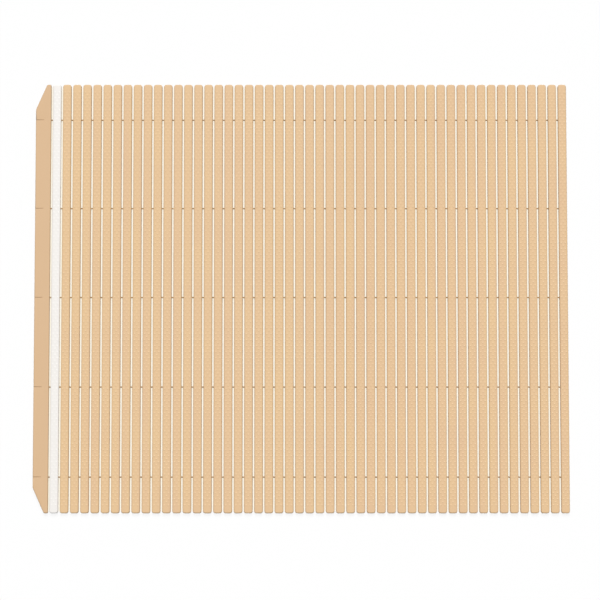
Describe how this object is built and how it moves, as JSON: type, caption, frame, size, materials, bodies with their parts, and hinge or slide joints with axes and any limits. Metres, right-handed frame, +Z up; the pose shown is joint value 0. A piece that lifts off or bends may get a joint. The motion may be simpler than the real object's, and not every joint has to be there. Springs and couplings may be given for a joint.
{
  "type": "sushi rolling mat",
  "caption": "Flat moulded-plastic sushi rolling mat: a wide end bar, a white marker slat and embossed tan slats, threaded side by side on cross cords so that it curls into a roll.",
  "frame": {"origin": "middle of the mat's underside, on the surface that it lies on", "axes": "+X across the slats from the end bar to the last slat, +Y along the slats, +Z up towards the food side"},
  "size_m": [0.2966, 0.24, 0.003],
  "materials": {
    "tan_plastic": "matte tan polypropylene with a fine dot emboss",
    "white_plastic": "matte white polypropylene",
    "cord": "twisted brown polyester cord"
  },
  "bodies": {
    "end_bar": {"end_bar": "tan_plastic"},
    "marker_slat": {"marker_slat": "white_plastic"},
    "slat_01": {"slat_01": "tan_plastic"},
    "slat_02": {"slat_02": "tan_plastic"},
    "slat_03": {"slat_03": "tan_plastic"},
    "slat_04": {"slat_04": "tan_plastic"},
    "slat_05": {"slat_05": "tan_plastic"},
    "slat_06": {"slat_06": "tan_plastic"},
    "slat_07": {"slat_07": "tan_plastic"},
    "slat_08": {"slat_08": "tan_plastic"},
    "slat_09": {"slat_09": "tan_plastic"},
    "slat_10": {"slat_10": "tan_plastic"},
    "slat_11": {"slat_11": "tan_plastic"},
    "slat_12": {"slat_12": "tan_plastic"},
    "slat_13": {"slat_13": "tan_plastic"},
    "slat_14": {"slat_14": "tan_plastic"},
    "slat_15": {"slat_15": "tan_plastic"},
    "slat_16": {"slat_16": "tan_plastic"},
    "slat_17": {"slat_17": "tan_plastic"},
    "slat_18": {"slat_18": "tan_plastic"},
    "slat_19": {"slat_19": "tan_plastic"},
    "slat_20": {"slat_20": "tan_plastic"},
    "slat_21": {"slat_21": "tan_plastic"},
    "slat_22": {"slat_22": "tan_plastic"},
    "slat_23": {"slat_23": "tan_plastic"},
    "slat_24": {"slat_24": "tan_plastic", "cord_1": "cord", "cord_2": "cord", "cord_3": "cord", "cord_4": "cord", "cord_5": "cord"},
    "slat_25": {"slat_25": "tan_plastic"},
    "slat_26": {"slat_26": "tan_plastic"},
    "slat_27": {"slat_27": "tan_plastic"},
    "slat_28": {"slat_28": "tan_plastic"},
    "slat_29": {"slat_29": "tan_plastic"},
    "slat_30": {"slat_30": "tan_plastic"},
    "slat_31": {"slat_31": "tan_plastic"},
    "slat_32": {"slat_32": "tan_plastic"},
    "slat_33": {"slat_33": "tan_plastic"},
    "slat_34": {"slat_34": "tan_plastic"},
    "slat_35": {"slat_35": "tan_plastic"},
    "slat_36": {"slat_36": "tan_plastic"},
    "slat_37": {"slat_37": "tan_plastic"},
    "slat_38": {"slat_38": "tan_plastic"},
    "slat_39": {"slat_39": "tan_plastic"},
    "slat_40": {"slat_40": "tan_plastic"},
    "slat_41": {"slat_41": "tan_plastic"},
    "slat_42": {"slat_42": "tan_plastic"},
    "slat_43": {"slat_43": "tan_plastic"},
    "slat_44": {"slat_44": "tan_plastic"},
    "slat_45": {"slat_45": "tan_plastic"},
    "slat_46": {"slat_46": "tan_plastic"},
    "slat_47": {"slat_47": "tan_plastic"},
    "slat_48": {"slat_48": "tan_plastic"},
    "slat_49": {"slat_49": "tan_plastic"},
    "slat_50": {"slat_50": "tan_plastic"}
  },
  "joints": [
    {"name": "roll_01", "type": "hinge", "parent": "end_bar", "child": "marker_slat", "pos_m": [-0.13942, 0, 0.0015], "axis": [0, -1, 0], "range_deg": [-15.64, 15.64], "deforming": ["cord_1", "cord_2", "cord_3", "cord_4", "cord_5"]},
    {"name": "roll_02", "type": "hinge", "parent": "marker_slat", "child": "slat_01", "pos_m": [-0.13378, 0, 0.0015], "axis": [0, -1, 0], "range_deg": [-15.77, 15.77], "deforming": ["cord_1", "cord_2", "cord_3", "cord_4", "cord_5"]},
    {"name": "roll_03", "type": "hinge", "parent": "slat_01", "child": "slat_02", "pos_m": [-0.12812, 0, 0.0015], "axis": [0, -1, 0], "range_deg": [-15.9, 15.9], "deforming": ["cord_1", "cord_2", "cord_3", "cord_4", "cord_5"]},
    {"name": "roll_04", "type": "hinge", "parent": "slat_02", "child": "slat_03", "pos_m": [-0.12248, 0, 0.0015], "axis": [0, -1, 0], "range_deg": [-16.03, 16.03], "deforming": ["cord_1", "cord_2", "cord_3", "cord_4", "cord_5"]},
    {"name": "roll_05", "type": "hinge", "parent": "slat_03", "child": "slat_04", "pos_m": [-0.11682, 0, 0.0015], "axis": [0, -1, 0], "range_deg": [-16.17, 16.17], "deforming": ["cord_1", "cord_2", "cord_3", "cord_4", "cord_5"]},
    {"name": "roll_06", "type": "hinge", "parent": "slat_04", "child": "slat_05", "pos_m": [-0.11117, 0, 0.0015], "axis": [0, -1, 0], "range_deg": [-16.31, 16.31], "deforming": ["cord_1", "cord_2", "cord_3", "cord_4", "cord_5"]},
    {"name": "roll_07", "type": "hinge", "parent": "slat_05", "child": "slat_06", "pos_m": [-0.10552, 0, 0.0015], "axis": [0, -1, 0], "range_deg": [-16.45, 16.45], "deforming": ["cord_1", "cord_2", "cord_3", "cord_4", "cord_5"]},
    {"name": "roll_08", "type": "hinge", "parent": "slat_06", "child": "slat_07", "pos_m": [-0.09988, 0, 0.0015], "axis": [0, -1, 0], "range_deg": [-16.6, 16.6], "deforming": ["cord_1", "cord_2", "cord_3", "cord_4", "cord_5"]},
    {"name": "roll_09", "type": "hinge", "parent": "slat_07", "child": "slat_08", "pos_m": [-0.09423, 0, 0.0015], "axis": [0, -1, 0], "range_deg": [-16.75, 16.75], "deforming": ["cord_1", "cord_2", "cord_3", "cord_4", "cord_5"]},
    {"name": "roll_10", "type": "hinge", "parent": "slat_08", "child": "slat_09", "pos_m": [-0.08858, 0, 0.0015], "axis": [0, -1, 0], "range_deg": [-16.9, 16.9], "deforming": ["cord_1", "cord_2", "cord_3", "cord_4", "cord_5"]},
    {"name": "roll_11", "type": "hinge", "parent": "slat_09", "child": "slat_10", "pos_m": [-0.08292, 0, 0.0015], "axis": [0, -1, 0], "range_deg": [-17.06, 17.06], "deforming": ["cord_1", "cord_2", "cord_3", "cord_4", "cord_5"]},
    {"name": "roll_12", "type": "hinge", "parent": "slat_10", "child": "slat_11", "pos_m": [-0.07727, 0, 0.0015], "axis": [0, -1, 0], "range_deg": [-17.23, 17.23], "deforming": ["cord_1", "cord_2", "cord_3", "cord_4", "cord_5"]},
    {"name": "roll_13", "type": "hinge", "parent": "slat_11", "child": "slat_12", "pos_m": [-0.07162, 0, 0.0015], "axis": [0, -1, 0], "range_deg": [-17.4, 17.4], "deforming": ["cord_1", "cord_2", "cord_3", "cord_4", "cord_5"]},
    {"name": "roll_14", "type": "hinge", "parent": "slat_12", "child": "slat_13", "pos_m": [-0.06598, 0, 0.0015], "axis": [0, -1, 0], "range_deg": [-17.57, 17.57], "deforming": ["cord_1", "cord_2", "cord_3", "cord_4", "cord_5"]},
    {"name": "roll_15", "type": "hinge", "parent": "slat_13", "child": "slat_14", "pos_m": [-0.06032, 0, 0.0015], "axis": [0, -1, 0], "range_deg": [-17.75, 17.75], "deforming": ["cord_1", "cord_2", "cord_3", "cord_4", "cord_5"]},
    {"name": "roll_16", "type": "hinge", "parent": "slat_14", "child": "slat_15", "pos_m": [-0.05468, 0, 0.0015], "axis": [0, -1, 0], "range_deg": [-17.94, 17.94], "deforming": ["cord_1", "cord_2", "cord_3", "cord_4", "cord_5"]},
    {"name": "roll_17", "type": "hinge", "parent": "slat_15", "child": "slat_16", "pos_m": [-0.04902, 0, 0.0015], "axis": [0, -1, 0], "range_deg": [-18.13, 18.13], "deforming": ["cord_1", "cord_2", "cord_3", "cord_4", "cord_5"]},
    {"name": "roll_18", "type": "hinge", "parent": "slat_16", "child": "slat_17", "pos_m": [-0.04337, 0, 0.0015], "axis": [0, -1, 0], "range_deg": [-18.33, 18.33], "deforming": ["cord_1", "cord_2", "cord_3", "cord_4", "cord_5"]},
    {"name": "roll_19", "type": "hinge", "parent": "slat_17", "child": "slat_18", "pos_m": [-0.03773, 0, 0.0015], "axis": [0, -1, 0], "range_deg": [-18.54, 18.54], "deforming": ["cord_1", "cord_2", "cord_3", "cord_4", "cord_5"]},
    {"name": "roll_20", "type": "hinge", "parent": "slat_18", "child": "slat_19", "pos_m": [-0.03207, 0, 0.0015], "axis": [0, -1, 0], "range_deg": [-18.75, 18.75], "deforming": ["cord_1", "cord_2", "cord_3", "cord_4", "cord_5"]},
    {"name": "roll_21", "type": "hinge", "parent": "slat_19", "child": "slat_20", "pos_m": [-0.02643, 0, 0.0015], "axis": [0, -1, 0], "range_deg": [-18.97, 18.97], "deforming": ["cord_1", "cord_2", "cord_3", "cord_4", "cord_5"]},
    {"name": "roll_22", "type": "hinge", "parent": "slat_20", "child": "slat_21", "pos_m": [-0.02077, 0, 0.0015], "axis": [0, -1, 0], "range_deg": [-19.19, 19.19], "deforming": ["cord_1", "cord_2", "cord_3", "cord_4", "cord_5"]},
    {"name": "roll_23", "type": "hinge", "parent": "slat_21", "child": "slat_22", "pos_m": [-0.01512, 0, 0.0015], "axis": [0, -1, 0], "range_deg": [-19.43, 19.43], "deforming": ["cord_1", "cord_2", "cord_3", "cord_4", "cord_5"]},
    {"name": "roll_24", "type": "hinge", "parent": "slat_22", "child": "slat_23", "pos_m": [-0.00948, 0, 0.0015], "axis": [0, -1, 0], "range_deg": [-19.67, 19.67], "deforming": ["cord_1", "cord_2", "cord_3", "cord_4", "cord_5"]},
    {"name": "roll_25", "type": "hinge", "parent": "slat_23", "child": "slat_24", "pos_m": [-0.00382, 0, 0.0015], "axis": [0, -1, 0], "range_deg": [-19.93, 19.93], "deforming": ["cord_1", "cord_2", "cord_3", "cord_4", "cord_5"]},
    {"name": "roll_26", "type": "hinge", "parent": "slat_24", "child": "slat_25", "pos_m": [0.00183, 0, 0.0015], "axis": [0, -1, 0], "range_deg": [-20.19, 20.19], "deforming": ["cord_1", "cord_2", "cord_3", "cord_4", "cord_5"]},
    {"name": "roll_27", "type": "hinge", "parent": "slat_25", "child": "slat_26", "pos_m": [0.00747, 0, 0.0015], "axis": [0, -1, 0], "range_deg": [-20.47, 20.47], "deforming": ["cord_1", "cord_2", "cord_3", "cord_4", "cord_5"]},
    {"name": "roll_28", "type": "hinge", "parent": "slat_26", "child": "slat_27", "pos_m": [0.01312, 0, 0.0015], "axis": [0, -1, 0], "range_deg": [-20.76, 20.76], "deforming": ["cord_1", "cord_2", "cord_3", "cord_4", "cord_5"]},
    {"name": "roll_29", "type": "hinge", "parent": "slat_27", "child": "slat_28", "pos_m": [0.01878, 0, 0.0015], "axis": [0, -1, 0], "range_deg": [-21.05, 21.05], "deforming": ["cord_1", "cord_2", "cord_3", "cord_4", "cord_5"]},
    {"name": "roll_30", "type": "hinge", "parent": "slat_28", "child": "slat_29", "pos_m": [0.02442, 0, 0.0015], "axis": [0, -1, 0], "range_deg": [-21.37, 21.37], "deforming": ["cord_1", "cord_2", "cord_3", "cord_4", "cord_5"]},
    {"name": "roll_31", "type": "hinge", "parent": "slat_29", "child": "slat_30", "pos_m": [0.03008, 0, 0.0015], "axis": [0, -1, 0], "range_deg": [-21.69, 21.69], "deforming": ["cord_1", "cord_2", "cord_3", "cord_4", "cord_5"]},
    {"name": "roll_32", "type": "hinge", "parent": "slat_30", "child": "slat_31", "pos_m": [0.03572, 0, 0.0015], "axis": [0, -1, 0], "range_deg": [-22.04, 22.04], "deforming": ["cord_1", "cord_2", "cord_3", "cord_4", "cord_5"]},
    {"name": "roll_33", "type": "hinge", "parent": "slat_31", "child": "slat_32", "pos_m": [0.04138, 0, 0.0015], "axis": [0, -1, 0], "range_deg": [-22.4, 22.4], "deforming": ["cord_1", "cord_2", "cord_3", "cord_4", "cord_5"]},
    {"name": "roll_34", "type": "hinge", "parent": "slat_32", "child": "slat_33", "pos_m": [0.04702, 0, 0.0015], "axis": [0, -1, 0], "range_deg": [-22.78, 22.78], "deforming": ["cord_1", "cord_2", "cord_3", "cord_4", "cord_5"]},
    {"name": "roll_35", "type": "hinge", "parent": "slat_33", "child": "slat_34", "pos_m": [0.05267, 0, 0.0015], "axis": [0, -1, 0], "range_deg": [-23.17, 23.17], "deforming": ["cord_1", "cord_2", "cord_3", "cord_4", "cord_5"]},
    {"name": "roll_36", "type": "hinge", "parent": "slat_34", "child": "slat_35", "pos_m": [0.05833, 0, 0.0015], "axis": [0, -1, 0], "range_deg": [-23.59, 23.59], "deforming": ["cord_1", "cord_2", "cord_3", "cord_4", "cord_5"]},
    {"name": "roll_37", "type": "hinge", "parent": "slat_35", "child": "slat_36", "pos_m": [0.06398, 0, 0.0015], "axis": [0, -1, 0], "range_deg": [-24.04, 24.04], "deforming": ["cord_1", "cord_2", "cord_3", "cord_4", "cord_5"]},
    {"name": "roll_38", "type": "hinge", "parent": "slat_36", "child": "slat_37", "pos_m": [0.06963, 0, 0.0015], "axis": [0, -1, 0], "range_deg": [-24.5, 24.5], "deforming": ["cord_1", "cord_2", "cord_3", "cord_4", "cord_5"]},
    {"name": "roll_39", "type": "hinge", "parent": "slat_37", "child": "slat_38", "pos_m": [0.07527, 0, 0.0015], "axis": [0, -1, 0], "range_deg": [-25, 25], "deforming": ["cord_1", "cord_2", "cord_3", "cord_4", "cord_5"]},
    {"name": "roll_40", "type": "hinge", "parent": "slat_38", "child": "slat_39", "pos_m": [0.08092, 0, 0.0015], "axis": [0, -1, 0], "range_deg": [-25.53, 25.53], "deforming": ["cord_1", "cord_2", "cord_3", "cord_4", "cord_5"]},
    {"name": "roll_41", "type": "hinge", "parent": "slat_39", "child": "slat_40", "pos_m": [0.08657, 0, 0.0015], "axis": [0, -1, 0], "range_deg": [-26.1, 26.1], "deforming": ["cord_1", "cord_2", "cord_3", "cord_4", "cord_5"]},
    {"name": "roll_42", "type": "hinge", "parent": "slat_40", "child": "slat_41", "pos_m": [0.09223, 0, 0.0015], "axis": [0, -1, 0], "range_deg": [-26.7, 26.7], "deforming": ["cord_1", "cord_2", "cord_3", "cord_4", "cord_5"]},
    {"name": "roll_43", "type": "hinge", "parent": "slat_41", "child": "slat_42", "pos_m": [0.09788, 0, 0.0015], "axis": [0, -1, 0], "range_deg": [-27.35, 27.35], "deforming": ["cord_1", "cord_2", "cord_3", "cord_4", "cord_5"]},
    {"name": "roll_44", "type": "hinge", "parent": "slat_42", "child": "slat_43", "pos_m": [0.10353, 0, 0.0015], "axis": [0, -1, 0], "range_deg": [-28.05, 28.05], "deforming": ["cord_1", "cord_2", "cord_3", "cord_4", "cord_5"]},
    {"name": "roll_45", "type": "hinge", "parent": "slat_43", "child": "slat_44", "pos_m": [0.10917, 0, 0.0015], "axis": [0, -1, 0], "range_deg": [-28.81, 28.81], "deforming": ["cord_1", "cord_2", "cord_3", "cord_4", "cord_5"]},
    {"name": "roll_46", "type": "hinge", "parent": "slat_44", "child": "slat_45", "pos_m": [0.11482, 0, 0.0015], "axis": [0, -1, 0], "range_deg": [-29.63, 29.63], "deforming": ["cord_1", "cord_2", "cord_3", "cord_4", "cord_5"]},
    {"name": "roll_47", "type": "hinge", "parent": "slat_45", "child": "slat_46", "pos_m": [0.12047, 0, 0.0015], "axis": [0, -1, 0], "range_deg": [-30.52, 30.52], "deforming": ["cord_1", "cord_2", "cord_3", "cord_4", "cord_5"]},
    {"name": "roll_48", "type": "hinge", "parent": "slat_46", "child": "slat_47", "pos_m": [0.12612, 0, 0.0015], "axis": [0, -1, 0], "range_deg": [-31.51, 31.51], "deforming": ["cord_1", "cord_2", "cord_3", "cord_4", "cord_5"]},
    {"name": "roll_49", "type": "hinge", "parent": "slat_47", "child": "slat_48", "pos_m": [0.13178, 0, 0.0015], "axis": [0, -1, 0], "range_deg": [-32.59, 32.59], "deforming": ["cord_1", "cord_2", "cord_3", "cord_4", "cord_5"]},
    {"name": "roll_50", "type": "hinge", "parent": "slat_48", "child": "slat_49", "pos_m": [0.13742, 0, 0.0015], "axis": [0, -1, 0], "range_deg": [-33.8, 33.8], "deforming": ["cord_1", "cord_2", "cord_3", "cord_4", "cord_5"]},
    {"name": "roll_51", "type": "hinge", "parent": "slat_49", "child": "slat_50", "pos_m": [0.14308, 0, 0.0015], "axis": [0, -1, 0], "range_deg": [-35.16, 35.16], "deforming": ["cord_1", "cord_2", "cord_3", "cord_4", "cord_5"]}
  ]
}
